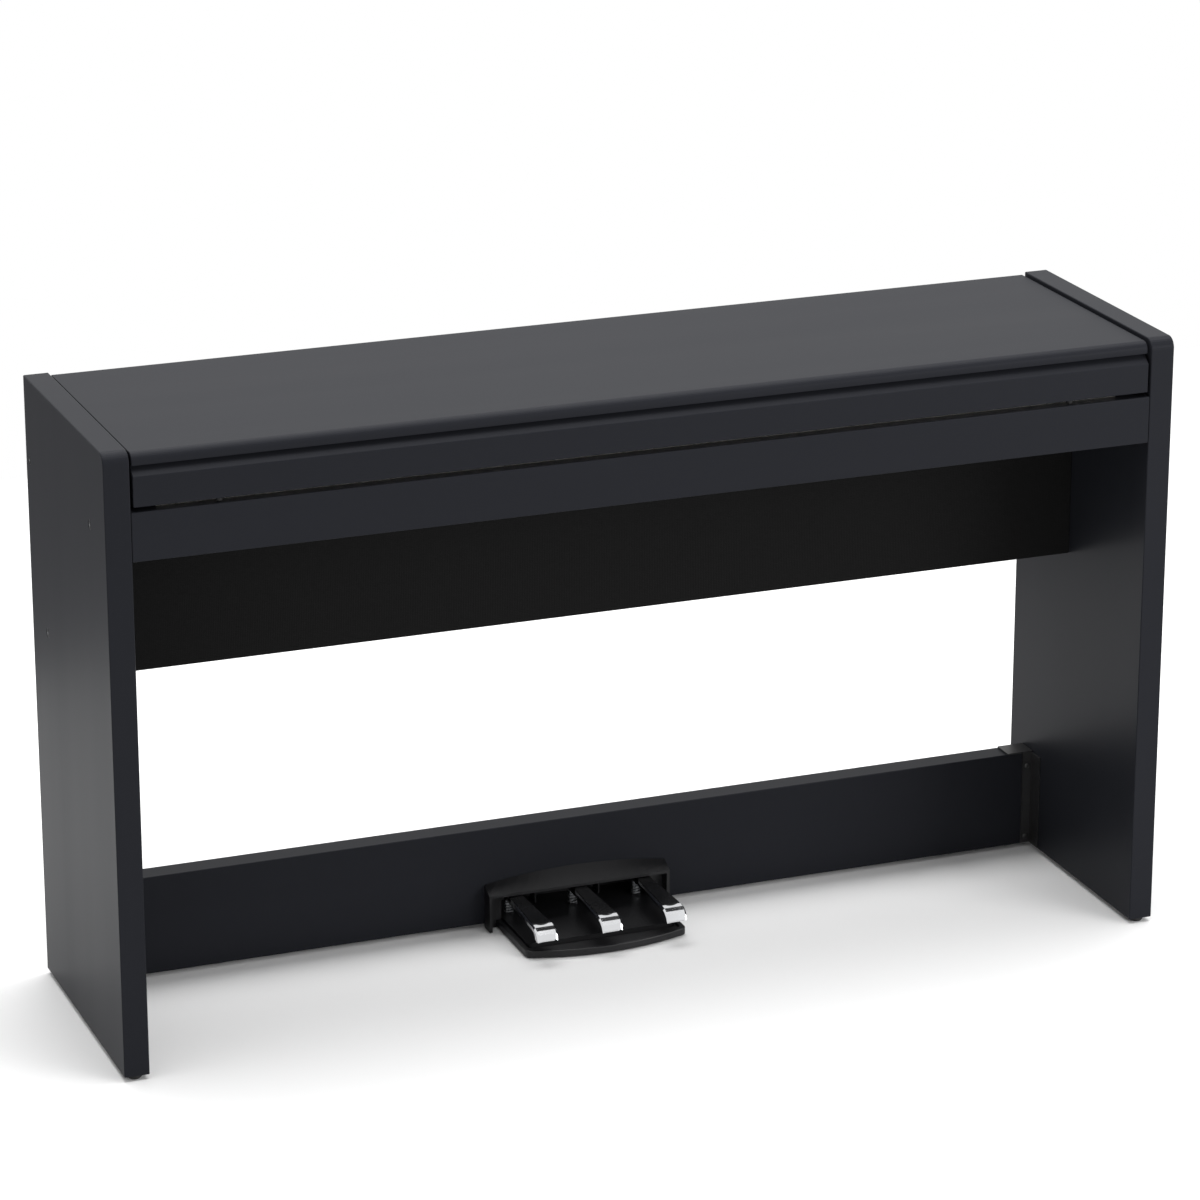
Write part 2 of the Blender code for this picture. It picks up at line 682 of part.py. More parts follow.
def control_panel(made):
    """A channel behind the keys with holes for the controls and posts for the circuit board."""
    top, skin, c = PANEL_TOP, PANEL_TOP - PANEL_T, PANEL_CHAMFER
    low = KEY_TOP + PANEL_KEY_CLEAR
    outline = [(PANEL_FRONT, low), (PANEL_FRONT + PANEL_T, low), (PANEL_FRONT + PANEL_T, skin - c)]
    back = UNIT_BACK - PANEL_BACK_INSET
    outline += [(PANEL_FRONT + PANEL_T + c, skin), (back, skin), (back, top)]
    outline += arc((PANEL_FRONT + c, top - c), c, 90, 180, 5)
    bm = bmesh.new()
    half = CHEEK_IN - PANEL_END_CLEAR
    prism_x(bm, outline, -half, half)
    panel = finish("control_panel", bm, made)
    holes = bmesh.new()
    low_cut, high_cut = skin - GAP, top + GAP
    for x, radius in ((POWER_X, POWER_R), (KNOB_X, SHAFT_R)):
        r = radius + CONTROL_CLEAR
        turned(holes, [(0, low_cut), (r, low_cut), (r, high_cut), (0, high_cut)], (x, CONTROL_Y, 0), steps=24)
    for x in BUTTON_X:
        w, d = BUTTON_W / 2 + CONTROL_CLEAR, BUTTON_D / 2 + CONTROL_CLEAR
        prism_z(holes, rounded(x - w, x + w, CONTROL_Y - d, CONTROL_Y + d, BUTTON_D / 4), low_cut, high_cut)
    combined(panel, guide("control_holes", holes), "DIFFERENCE")
    posts = bmesh.new()
    for x in (KNOB_X - KNOB_R * 2, KNOB_X + PCB_W - KNOB_R * 6):
        for y in (CONTROL_Y - PCB_D / 4, CONTROL_Y + PCB_D / 4):
            block(posts, (x - POST_R, x + POST_R), (y - POST_R, y + POST_R), (PCB_TOP + GAP, skin + GAP))
    return combined(panel, guide("panel_posts", posts), "UNION")


def main_board(made):
    start = KNOB_X - KNOB_R * 4
    bm = bmesh.new()
    block(bm, (start, start + PCB_W), (CONTROL_Y - PCB_D / 2, CONTROL_Y + PCB_D / 2), (PCB_TOP - PCB_T, PCB_TOP))
    return finish("main_board", bm, made)


def push_button(name, outline, flange_outline, x, made):
    """A cap in its hole with a flange under the panel's skin."""
    skin = PANEL_TOP - PANEL_T - GAP
    bm = bmesh.new()
    prism_z(bm, outline, skin - BUTTON_FLANGE / 2, PANEL_TOP + BUTTON_RISE)
    cap = bevelled(finish(name, bm, made, (x, CONTROL_Y, PANEL_TOP)), BUTTON_RISE / 3, 2, 60)
    flange = bmesh.new()
    prism_z(flange, flange_outline, skin - BUTTON_FLANGE, skin)
    return smooth(combined(cap, guide(name + "_flange", flange), "UNION"))


def controls(made, knob_made):
    grow = BUTTON_FLANGE
    circle = arc((POWER_X, CONTROL_Y), POWER_R, 0, 345, 23)
    wide = arc((POWER_X, CONTROL_Y), POWER_R + grow, 0, 345, 23)
    push_button("power_button", circle, wide, POWER_X, made)
    for i, x in enumerate(BUTTON_X):
        w, d = BUTTON_W / 2, BUTTON_D / 2
        cap = rounded(x - w, x + w, CONTROL_Y - d, CONTROL_Y + d, BUTTON_D / 4)
        flange = rounded(x - w - grow, x + w + grow, CONTROL_Y - d - grow, CONTROL_Y + d + grow, BUTTON_D / 4)
        push_button(f"function_button_{i + 1}", cap, flange, x, made)
    base = PANEL_TOP + GAP * 2
    low = PCB_TOP + GAP * 2
    profile = [(0, low), (SHAFT_R, low), (SHAFT_R, base), (KNOB_R, base), (KNOB_R * 0.94, base + KNOB_H * 0.85),
               (KNOB_R * 0.8, base + KNOB_H), (0, base + KNOB_H)]
    bm = bmesh.new()
    turned(bm, profile, (KNOB_X, CONTROL_Y, 0), steps=24)
    smooth(finish("volume_knob", bm, knob_made, (KNOB_X, CONTROL_Y, PANEL_TOP)))


def unit_bracket(name, side, made):
    """An angle on the key bed's end whose tall leg runs back along the side board."""
    outer = INNER - GAP
    inner = outer - ANGLE_T
    low = BED_TOP + GAP
    start = FRONT + ANGLE_START
    end = BACK - ANGLE_END
    bm = bmesh.new()
    block(bm, sorted((side * inner, side * outer)), (start, end), (low, low + ANGLE_H))
    angle = finish(name, bm, made)
    foot = bmesh.new()
    block(foot, sorted((side * (outer - ANGLE_FOOT), side * (inner + ANGLE_T / 2))), (start, WALL_FRONT),
          (low, low + ANGLE_T))
    return combined(angle, guide(name + "_foot", foot), "UNION")


def grille_panel(made):
    """The cloth-faced panel under the key bed, hollowed behind for the speakers."""
    bm = bmesh.new()
    half = INNER - GAP
    block(bm, (-half, half), (GRILLE_FRONT, GRILLE_FRONT + GRILLE_T), (GRILLE_BOTTOM, GRILLE_TOP))
    panel = bevelled(finish("grille_panel", bm, made), BOARD_EDGE_R, 2)
    hollow = bmesh.new()
    rim = GRILLE_RIM
    for side in (-1, 1):
        xs = sorted((side * rim / 2, side * (half - rim)))
        block(hollow, xs, (GRILLE_FRONT + GRILLE_SKIN, GRILLE_FRONT + 2 * GRILLE_T),
              (GRILLE_BOTTOM + rim, GRILLE_TOP - rim))
    return combined(panel, guide("grille_hollow", hollow), "DIFFERENCE")


def speaker_box(made):
    """A baffle up to the key bed with a closed box behind its lower part and two round holes."""
    half = INNER - GAP
    wall = BOX_WALL
    behind = BAFFLE_FRONT + BAFFLE_T
    outline = [(BAFFLE_FRONT, GRILLE_BOTTOM), (BOX_BACK, GRILLE_BOTTOM), (BOX_BACK, BOX_TOP), (behind, BOX_TOP),
               (behind, GRILLE_TOP), (BAFFLE_FRONT, GRILLE_TOP)]
    bm = bmesh.new()
    prism_x(bm, outline, -half, half)
    box = finish("speaker_box", bm, made)
    inside = bmesh.new()
    block(inside, (-half + wall, half - wall), (behind, BOX_BACK - wall), (GRILLE_BOTTOM + wall, BOX_TOP - wall))
    combined(box, guide("box_inside", inside), "DIFFERENCE")
    holes = bmesh.new()
    for side in (-1, 1):
        depth = BAFFLE_T + 2 * wall
        profile = [(0, -wall), (SPEAKER_HOLE_R, -wall), (SPEAKER_HOLE_R, depth), (0, depth)]
        turned(holes, profile, (side * SPEAKER_X, BAFFLE_FRONT, SPEAKER_Z), "Y", 32)
    return combined(box, guide("box_holes", holes), "DIFFERENCE")


def speaker(name, x, made):
    """A driver in section: flange, surround, cone, dust cap, basket and magnet, front towards -Y."""
    flange = 0.0035
    face = -GAP - flange
    back = BASKET_DEPTH + MAGNET_T
    profile = [(0, face + CONE_DEPTH * 0.7), (CONE_R * 0.3, face + CONE_DEPTH * 0.85), (CONE_R * 0.36, face + CONE_DEPTH),
               (CONE_R * 0.9, face + flange / 2), (CONE_R, face), (SPEAKER_R, face), (SPEAKER_R, -GAP),
               (SPEAKER_HOLE_R - 2 * GAP, -GAP), (SPEAKER_HOLE_R - 4 * GAP, BAFFLE_T),
               (MAGNET_R * 0.9, BASKET_DEPTH), (MAGNET_R, BASKET_DEPTH), (MAGNET_R, back), (0, back)]
    bm = bmesh.new()
    turned(bm, profile, (x, BAFFLE_FRONT, SPEAKER_Z), "Y", 28)
    return smooth(finish(name, bm, made))


def jack_panel(made):
    """The connector plate on the box's back, with a row of round collars."""
    y0 = BOX_BACK + GAP
    z0 = GRILLE_BOTTOM + JACK_ABOVE
    bm = bmesh.new()
    prism_y(bm, rounded(JACK_X - JACK_W / 2, JACK_X + JACK_W / 2, z0, z0 + JACK_H, JACK_H / 8, 2), y0, y0 + JACK_T)
    plate = finish("jack_panel", bm, made)
    collars = bmesh.new()
    for i in range(4):
        x = JACK_X + JACK_W * (i - 1.5) / 4
        profile = [(0, 0), (JACK_RING_R, 0), (JACK_RING_R, JACK_T), (JACK_RING_R * 0.85, JACK_T * 1.4), (0, JACK_T * 1.4)]
        turned(collars, profile, (x, y0 + JACK_T / 2, z0 + JACK_H / 2), "Y", 16)
    return combined(plate, guide("jack_collars", collars), "UNION")


def pedal_board(made):
    """The low board between the sides, cut out below for the pedal unit."""
    half = INNER - GAP
    cut = BASE_W / 2 + COVER_CLEAR
    rise = BASE_Z + COVER_BODY_H + COVER_CLEAR
    outline = [(-half, GLIDE_H), (-cut, GLIDE_H), (-cut, rise), (cut, rise), (cut, GLIDE_H), (half, GLIDE_H),
               (half, PEDAL_BOARD_TOP), (-half, PEDAL_BOARD_TOP)]
    bm = bmesh.new()
    prism_y(bm, outline, PEDAL_BOARD_FRONT, PEDAL_BOARD_BACK)
    return bevelled(finish("pedal_board", bm, made), BOARD_EDGE_R, 2)


def end_bracket(name, side, made):
    """A steel bracket at the pedal board's end: side leg, front strip with two screws, top tab."""
    outer = INNER - GAP
    front = PEDAL_BOARD_FRONT - GAP - ANGLE_T
    low, high = GLIDE_H + ANGLE_T, PEDAL_BOARD_TOP + GAP
    bm = bmesh.new()
    block(bm, sorted((side * (outer - END_ANGLE_W), side * outer)), (front, PEDAL_BOARD_FRONT - GAP), (low, high))
    bracket = finish(name, bm, made)
    top = bmesh.new()
    block(top, sorted((side * (outer - END_ANGLE_TOP), side * outer)), (front, PEDAL_BOARD_BACK - ANGLE_T),
          (high, high + ANGLE_T))
    combined(bracket, guide(name + "_top", top), "UNION")
    leg = bmesh.new()
    block(leg, sorted((side * (outer - ANGLE_T), side * outer)), (front - END_ANGLE_LEG, front + ANGLE_T / 2),
          (low, high))
    combined(bracket, guide(name + "_leg", leg), "UNION")
    heads = bmesh.new()
    for z in (low + END_SCREW_INSET / 2, high - END_SCREW_INSET):
        profile = [(0, ANGLE_T / 2), (END_SCREW_R, ANGLE_T / 2), (END_SCREW_R, -ANGLE_T / 2),
                   (END_SCREW_R * 0.6, -ANGLE_T), (0, -ANGLE_T)]
        turned(heads, profile, (side * (outer - END_SCREW_X), front, z), "Y", 12)
    return combined(bracket, guide(name + "_screws", heads), "UNION")


def base_outline(inset=0.0):
    """The pedal base in plan: straight sides and a bowed front between round corners."""
    half = BASE_W / 2 - inset
    front = PEDAL_BOARD_FRONT - BASE_FRONT + inset
    back = PEDAL_BOARD_FRONT + BASE_BACK
    r = BASE_CORNER_R - inset / 2
    left = arc((-half + r, front + r), r, 180, 262, 5)
    right = arc((half - r, front + r), r, 278, 360, 5)
    span = right[0][0] - left[-1][0]
    bow = []
    for i in range(1, 12):
        t = i / 12
        bow.append((left[-1][0] + span * t, left[-1][1] - BASE_BOW * 4 * t * (1 - t)))
    return [(-half, back)] + left + bow + right + [(half, back)]


def pedal_base(made):
    """The floor plate with its rim, raised platform, axle lugs and spring seats."""
    bm = bmesh.new()
    prism_z(bm, base_outline(), BASE_Z, BASE_TOP)
    base = bevelled(finish("pedal_base", bm, made), BOARD_EDGE_R, 2, 50)
    sunk = bmesh.new()
    prism_z(sunk, base_outline(BASE_RIM)[1:-1] + [(BASE_W / 2 - BASE_RIM, UNIT_FACE), (BASE_RIM - BASE_W / 2, UNIT_FACE)],
            BASE_TOP - BASE_SINK, BASE_TOP + BASE_SINK)
    combined(base, guide("base_sink", sunk), "DIFFERENCE")
    more = bmesh.new()
    half = PLATFORM_W / 2
    y0, y1 = PEDAL_BOARD_FRONT - PLATFORM_FRONT, COVER_BACK - COVER_WALL - GAP
    prism_z(more, rounded(-half, half, y0, y1, BASE_CORNER_R / 2, 3), BASE_Z + BASE_T / 4, BASE_TOP + PLATFORM_RISE)
    combined(base, guide("base_platform", more), "UNION")
    lugs = bmesh.new()
    end = PEDAL_PITCH + PEDAL_BACK_W / 2 + LUG_SIDE_CLEAR + LUG_T / 2
    for middle in (-end, -PEDAL_PITCH / 2, PEDAL_PITCH / 2, end):
        block(lugs, (middle - LUG_T / 2, middle + LUG_T / 2), (AXLE_Y - LUG_D / 2, AXLE_Y + HUB_R),
              (BASE_TOP - BASE_T / 4, AXLE_Z + LUG_ABOVE_AXLE))
    combined(base, guide("base_lugs", lugs), "UNION")
    bore = bmesh.new()
    r = AXLE_R + PIN_CLEAR
    reach = BASE_W
    turned(bore, [(0, -reach), (r, -reach), (r, reach), (0, reach)], (0, AXLE_Y, AXLE_Z), "X", 16)
    return combined(base, guide("base_bore", bore), "DIFFERENCE")


def pedal_cover(made):
    """The arched hood: its face slants out from a curved top edge to a straight lip over the pedals.

    A tunnel runs back from it, through the board's cut-out, over the axle.
    """
    half, foot = COVER_W / 2, BASE_Z
    front = UNIT_FACE - HOOD_DEPTH
    under = PEDAL_TOP + HOOD_ABOVE_PEDAL
    rings, steps = [], 16
    bm = bmesh.new()
    for i in range(steps + 1):
        t = i / steps
        x = COVER_W * t - half
        crown = BASE_Z + COVER_END_H + ARCH_RISE * 4 * t * (1 - t)
        section = ((UNIT_FACE, foot), (front, foot), (front, under + HOOD_LIP_H), (UNIT_FACE, crown))
        rings.append([bm.verts.new((x, y, z)) for y, z in section])
    bm.faces.new(rings[0])
    bm.faces.new(rings[-1][::-1])
    for a, b in zip(rings, rings[1:]):
        for i in range(4):
            bm.faces.new((a[i], b[i], b[(i + 1) % 4], a[(i + 1) % 4]))
    cover = finish("pedal_cover", bm, made)
    top, low = BASE_Z + COVER_BODY_H, BASE_TOP + GAP
    body_half = COVER_BODY_W / 2
    tunnel = bmesh.new()
    block(tunnel, (-body_half, body_half), (UNIT_FACE - HOOD_BACK_T, COVER_BACK), (low, top))
    combined(cover, guide("cover_tunnel", tunnel), "UNION")
    mouth = bmesh.new()
    reach = half - HOOD_SIDE_T
    block(mouth, (-reach, reach), (front - COVER_WALL, UNIT_FACE - HOOD_BACK_T), (foot - COVER_WALL, under))
    combined(cover, guide("cover_mouth", mouth), "DIFFERENCE")
    inside = bmesh.new()
    inner = body_half - COVER_WALL
    end = COVER_BACK - COVER_WALL
    block(inside, (-inner, inner), (front, UNIT_FACE), (foot - COVER_WALL, under))
    combined(cover, guide("cover_doorway", inside), "DIFFERENCE")
    room = bmesh.new()
    block(room, (-inner, inner), (UNIT_FACE - GAP, end), (foot - COVER_WALL, top - COVER_WALL))
    combined(cover, guide("cover_room", room), "DIFFERENCE")
    bottom = bmesh.new()
    clear = BASE_W / 2 + COVER_CLEAR
    block(bottom, (-clear, clear), (front - COVER_WALL, COVER_BACK + COVER_WALL), (foot - 2 * COVER_WALL, low))
    return combined(cover, guide("cover_bottom", bottom), "DIFFERENCE")


def pedal(name, x, made):
    """A cast lever: hub at the back, a flat flared bar and a tip that rolls down."""
    tip = PEDAL_BOARD_FRONT - PEDAL_LEN
    bar = PEDAL_LEN + AXLE_BEHIND
    stations = [(AXLE_Y + HUB_R * 0.6, 0.0, PEDAL_BACK_W * 0.9), (UNIT_FACE - HOOD_BACK_T, 0.0, PEDAL_BACK_W)]
    stations += [(tip + bar * s, 0.0, w) for s, w in ((0.45, PEDAL_BACK_W * 1.1), (0.22, PEDAL_TIP_W * 0.96))]
    stations += [(tip + PEDAL_T * r, d, PEDAL_TIP_W * w) for r, d, w in (
        (2.4, 0.0, 1.0), (1.5, 0.0011, 1.0), (0.8, 0.0038, 0.99), (0.3, 0.0080, 0.97), (0.0, 0.0150, 0.93))]
    bm = bmesh.new()
    rings = []
    for i, (y, fall, w) in enumerate(stations):
        top = PEDAL_TOP - fall
        low = top - PEDAL_T * (0.55 if i == len(stations) - 1 else 1.0)
        h, c = w / 2, PEDAL_T / 4
        lean = min(fall, PEDAL_T) * 0.8
        points = [(-h, y + lean, low + c), (-h + c, y + lean, low), (h - c, y + lean, low), (h, y + lean, low + c),
                  (h, y, top - c), (h - c, y, top), (-h + c, y, top), (-h, y, top - c)]
        rings.append([bm.verts.new((x + px, py, pz)) for px, py, pz in points])
    for a, b in zip(rings, rings[1:]):
        for i in range(8):
            bm.faces.new((a[i], a[(i + 1) % 8], b[(i + 1) % 8], b[i]))
    bm.faces.new(rings[0][::-1])
    bm.faces.new(rings[-1])
    lever = finish(name, bm, made, (x, AXLE_Y, AXLE_Z))
    hub = bmesh.new()
    half = PEDAL_BACK_W * 0.45 - GAP
    turned(hub, [(0, -half), (HUB_R, -half), (HUB_R, half), (0, half)], (x, AXLE_Y, AXLE_Z), "X", 20)
    combined(lever, guide(name + "_hub", hub), "UNION")
    bore = bmesh.new()
    r = AXLE_R + PIN_CLEAR
    turned(bore, [(0, -PEDAL_PITCH), (r, -PEDAL_PITCH), (r, PEDAL_PITCH), (0, PEDAL_PITCH)], (x, AXLE_Y, AXLE_Z),
           "X", 16)
    combined(lever, guide(name + "_bore", bore), "DIFFERENCE")
    return smooth(lever, 40)


def pedal_axle(made):
    half = COVER_BODY_W / 2 - COVER_WALL - COVER_CLEAR
    bm = bmesh.new()
    turned(bm, [(0, -half), (AXLE_R, -half), (AXLE_R, half), (0, half)], (0, AXLE_Y, AXLE_Z), "X", 16)
    return smooth(finish("pedal_axle", bm, made))


def pedal_spring(name, x, made):
    """A compression spring under the lever: a square wire wound along a helix."""
    low = BASE_TOP + PLATFORM_RISE + SPRING_WIRE + GAP
    high = PEDAL_TOP - PEDAL_T - SPRING_WIRE - GAP
    y = AXLE_Y - SPRING_FORWARD
    steps = SPRING_TURNS * 10
    bm = bmesh.new()
    rings = []
    for i in range(steps + 1):
        a = math.tau * i / 10
        z = low + (high - low) * i / steps
        ring = []
        for dr, dz in ((-1, -1), (1, -1), (1, 1), (-1, 1)):
            r = SPRING_R + dr * SPRING_WIRE
            ring.append(bm.verts.new((x + r * math.cos(a), y + r * math.sin(a), z + dz * SPRING_WIRE)))
        rings.append(ring)
    for a, b in zip(rings, rings[1:]):
        for i in range(4):
            bm.faces.new((a[i], a[(i + 1) % 4], b[(i + 1) % 4], b[i]))
    bm.faces.new(rings[0][::-1])
    bm.faces.new(rings[-1])
    return finish(name, bm, made)


def main():
    clear_scene()
    wood = material("black_board", (47, 48, 52), 0.42)
    raw = material("raw_board", (30, 30, 31), 0.8)
    cloth = material("grille_cloth", (24, 24, 24), 0.95)
    steel = material("black_steel", (22, 22, 23), 0.45, 0.6)
    chrome = material("chrome", (205, 206, 208), 0.12, 1.0)
    zinc = material("zinc_steel", (150, 152, 155), 0.35, 1.0)
    plastic = material("black_plastic", (26, 26, 28), 0.5)
    ivory = material("natural_key", (238, 236, 228), 0.3)
    ebony = material("sharp_key", (20, 20, 21), 0.4)
    rubber = material("rubber", (28, 28, 28), 0.9)
    felt = material("red_felt", (120, 24, 30), 0.95)
    green = material("circuit_board", (22, 70, 45), 0.5)

    for side, word in ((-1, "left"), (1, "right")):
        side_board(f"side_board_{word}", side, wood)
        middle = side * (WIDTH / 2 - BOARD_T / 2)
        glide(f"glide_front_{word}", middle, FRONT + GLIDE_FRONT_INSET, rubber)
        glide(f"glide_rear_{word}", middle, BACK - GLIDE_REAR_INSET, rubber)
        cheek_block(f"cheek_block_{word}", side, wood)
        unit_bracket(f"unit_bracket_{word}", side, steel)
        end_bracket(f"end_bracket_{word}", side, steel)
        lid_arm(f"lid_arm_{word}", side, steel)
        bumper(f"lid_bumper_{word}", side * BUMPER_X, rubber)
        speaker(f"speaker_{word}", side * SPEAKER_X, plastic)
    lid(wood)
    music_ledge(wood)
    front_rail(wood)
    key_bed(raw)
    rear_wall(raw)
    key_frame(plastic)
    key_felt(felt)
    keys_made(ivory, ebony)
    control_panel(plastic)
    main_board(green)
    controls(plastic, zinc)
    grille_panel(cloth)
    speaker_box(raw)
    jack_panel(plastic)
    pedal_board(wood)
    pedal_base(plastic)
    pedal_cover(plastic)
    pedal_axle(zinc)
    for i, word in ((-1, "left"), (0, "middle"), (1, "right")):
        pedal(f"pedal_{word}", i * PEDAL_PITCH, chrome)
        pedal_spring(f"pedal_spring_{word}", i * PEDAL_PITCH, zinc)


main()
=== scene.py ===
# %% [markdown]
# # A slim cabinet piano
# A slim digital piano is a keyboard unit between two black side boards, with a lid over its keys and three
# pedals on a low board. Its solids come ready from the imported model, each with its size and place. They
# could be modelled again here, but then two models would have to agree. So this lesson loads them, gives
# them their finishes and adds only small pieces. It notes the model's box first.

import math

import bmesh
import bpy
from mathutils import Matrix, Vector


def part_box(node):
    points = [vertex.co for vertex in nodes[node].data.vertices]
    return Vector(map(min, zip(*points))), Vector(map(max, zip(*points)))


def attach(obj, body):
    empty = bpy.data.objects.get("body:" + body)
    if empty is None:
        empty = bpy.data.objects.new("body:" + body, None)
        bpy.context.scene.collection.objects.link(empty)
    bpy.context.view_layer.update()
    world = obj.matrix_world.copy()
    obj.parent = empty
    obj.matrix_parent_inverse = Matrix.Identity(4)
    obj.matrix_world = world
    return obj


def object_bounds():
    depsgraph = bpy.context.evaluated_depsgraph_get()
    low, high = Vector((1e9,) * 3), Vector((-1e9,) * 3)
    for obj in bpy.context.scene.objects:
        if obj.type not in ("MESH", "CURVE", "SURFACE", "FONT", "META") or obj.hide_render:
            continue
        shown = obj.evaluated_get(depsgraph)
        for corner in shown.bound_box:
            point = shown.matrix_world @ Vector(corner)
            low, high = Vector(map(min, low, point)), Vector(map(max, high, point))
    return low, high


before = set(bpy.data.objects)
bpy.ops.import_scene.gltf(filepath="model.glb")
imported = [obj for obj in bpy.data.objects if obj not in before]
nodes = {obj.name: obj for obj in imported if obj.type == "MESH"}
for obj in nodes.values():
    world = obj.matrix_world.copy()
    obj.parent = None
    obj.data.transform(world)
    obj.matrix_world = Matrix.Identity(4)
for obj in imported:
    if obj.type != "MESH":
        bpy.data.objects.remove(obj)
cad_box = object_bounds()
print(len(nodes), "solids, box", [round(v, 3) for corner in cad_box for v in corner])

# %% [markdown]
# ## Colours as a shader reads them
# A finish is named by its colour on a screen, three numbers of 0 to 255. A shader counts light instead, and
# there the screen's middle grey is only about a fifth. Blender's colour picker converts one to the other
# without a word, and a script has to do it itself. One helper does it here, so every finish below can be
# given in the numbers of the screen.

# %% Colours
SRGB_KNEE, SRGB_SLOPE = 10, 12.92
SRGB_OFFSET, SRGB_POWER = 0.055, 2.4


def linear(shade):
    """An sRGB shade of 0 to 255 as the linear number that a shader takes."""
    if shade <= SRGB_KNEE:
        return shade / 255 / SRGB_SLOPE
    return ((shade / 255 + SRGB_OFFSET) / (1 + SRGB_OFFSET)) ** SRGB_POWER


def colour(shades, factor=1.0):
    """Three screen shades as a shader's colour, made lighter or darker by a factor."""
    return (*[min(1.0, linear(s) * factor) for s in shades], 1.0)


print("screen grey 128 is", round(linear(128), 3), "of full light")

# %% [markdown]
# ## Noise, and what it drives
# No real surface is even: a foil, a casting or a plated sheet is a little mottled, and a little duller in
# places. A photograph of the finish could show that, but it would need flattened meshes and would show its
# seams. A noise needs neither, because it is computed at each point from the object's own metres. The
# helpers below make a noise, spread its middle band over two values, and turn it into a relief.

# %% Noise, range and relief
BAND_LOW, BAND_HIGH = 0.3, 0.7


def link(tree, pairs):
    """Joins each output to its input."""
    for source, target in pairs:
        tree.links.new(source, target)


def noise(tree, scale, stretch=(1, 1, 1), detail=4.0):
    """A noise over the object's own metres, stretched along its axes."""
    place = tree.nodes.new("ShaderNodeTexCoord")
    mapping = tree.nodes.new("ShaderNodeMapping")
    mapping.inputs["Scale"].default_value = stretch
    pattern = tree.nodes.new("ShaderNodeTexNoise")
    pattern.inputs["Scale"].default_value = scale
    pattern.inputs["Detail"].default_value = detail
    link(tree, [(place.outputs["Object"], mapping.inputs["Vector"]),
                (mapping.outputs["Vector"], pattern.inputs["Vector"])])
    return pattern.outputs["Fac"]


def ranged(tree, value, low, high):
    """Spreads a noise's middle band over low to high."""
    spread = tree.nodes.new("ShaderNodeMapRange")
    spread.inputs["From Min"].default_value = BAND_LOW
    spread.inputs["From Max"].default_value = BAND_HIGH
    spread.inputs["To Min"].default_value = low
    spread.inputs["To Max"].default_value = high
    link(tree, [(value, spread.inputs["Value"])])
    return spread.outputs["Result"]


def bumped(tree, height, strength, distance):
    """A height pattern as a relief, with the distance in metres."""
    relief = tree.nodes.new("ShaderNodeBump")
    relief.inputs["Strength"].default_value = strength
    relief.inputs["Distance"].default_value = distance
    link(tree, [(height, relief.inputs["Height"])])
    return relief.outputs["Normal"]


print("a noise's middle band is", BAND_LOW, "to", BAND_HIGH)

# %% [markdown]
# ## One recipe for every surface
# Nearly all the piano's finishes differ only in colour, gloss and grain. Each could have nodes of its own,
# but one recipe keeps them related and short to read. It mixes two close shades with a broad noise, varies
# the roughness with the same noise, and adds a fine bump. The noise is stretched along one axis where the
# real thing has a direction, as rolled steel has, or foil pressed on a board. Metal, gloss and tint are the
# same all over, so they are set on the shader's own sockets.

# %% A material recipe
BROAD_SCALE, BROAD_DETAIL = 9.0, 3.0


def surface(name, shades, roughness, metallic=0.0, grain=900.0, stretch=(1, 1, 1), relief=0.15,
            depth=0.0001, spread=0.12, vary=0.08, gloss=0.5, tint=(1, 1, 1)):
    """A Principled material with mottled colour, uneven gloss and a fine grain."""
    made = bpy.data.materials.new(name)
    made.use_nodes = True
    tree = made.node_tree
    shader = tree.nodes["Principled BSDF"]
    shader.inputs["Metallic"].default_value = metallic
    shader.inputs["Specular IOR Level"].default_value = gloss
    shader.inputs["Specular Tint"].default_value = (*tint, 1.0)
    mix = tree.nodes.new("ShaderNodeMix")
    mix.data_type = "RGBA"
    mix.inputs["A"].default_value = colour(shades, 1 - spread)
    mix.inputs["B"].default_value = colour(shades, 1 + spread)
    fine = noise(tree, grain, stretch)
    broad = noise(tree, BROAD_SCALE, stretch, BROAD_DETAIL)
    link(tree, [(ranged(tree, broad, 0.0, 1.0), mix.inputs["Factor"]),
                (mix.outputs["Result"], shader.inputs["Base Color"]),
                (ranged(tree, broad, roughness - vary, roughness + vary), shader.inputs["Roughness"]),
                (bumped(tree, fine, relief, depth), shader.inputs["Normal"])])
    return made


print("broad patches of about", round(100 / BROAD_SCALE), "cm, fine grain for each finish")

# %% [markdown]
# ## The black boards
# The cabinet is furniture board, pressed with a satin black foil whose grain runs along each board. A
# painted look with one roughness would be simpler, but it reads as plastic. So the noise is squeezed along
# the grain: along X for the lid and the rail, and along Z for the side boards. Satin foil reflects little,
# and slightly blue, so its specular level is low and tinted. What it reflects shows most at a grazing
# angle. The key bed, the rear wall and the speaker box are bare board, which is rough and matt.

# %% Board materials
BLACK = (31, 32, 36)
SATIN = 0.05
COOL = (0.92, 0.93, 1.0)
board_long = surface("board_along_x", BLACK, 0.38, grain=700, stretch=(0.06, 1, 1), relief=0.06,
                     vary=0.02, spread=0.06, gloss=SATIN, tint=COOL)
board_tall = surface("board_along_z", BLACK, 0.38, grain=700, stretch=(1, 1, 0.06), relief=0.06,
                     vary=0.02, spread=0.06, gloss=SATIN, tint=COOL)
raw_board = surface("raw_board", (30, 30, 31), 0.80, grain=260, relief=0.5, depth=0.0003, spread=0.3)
print("boards:", [m.name for m in (board_long, board_tall, raw_board)])
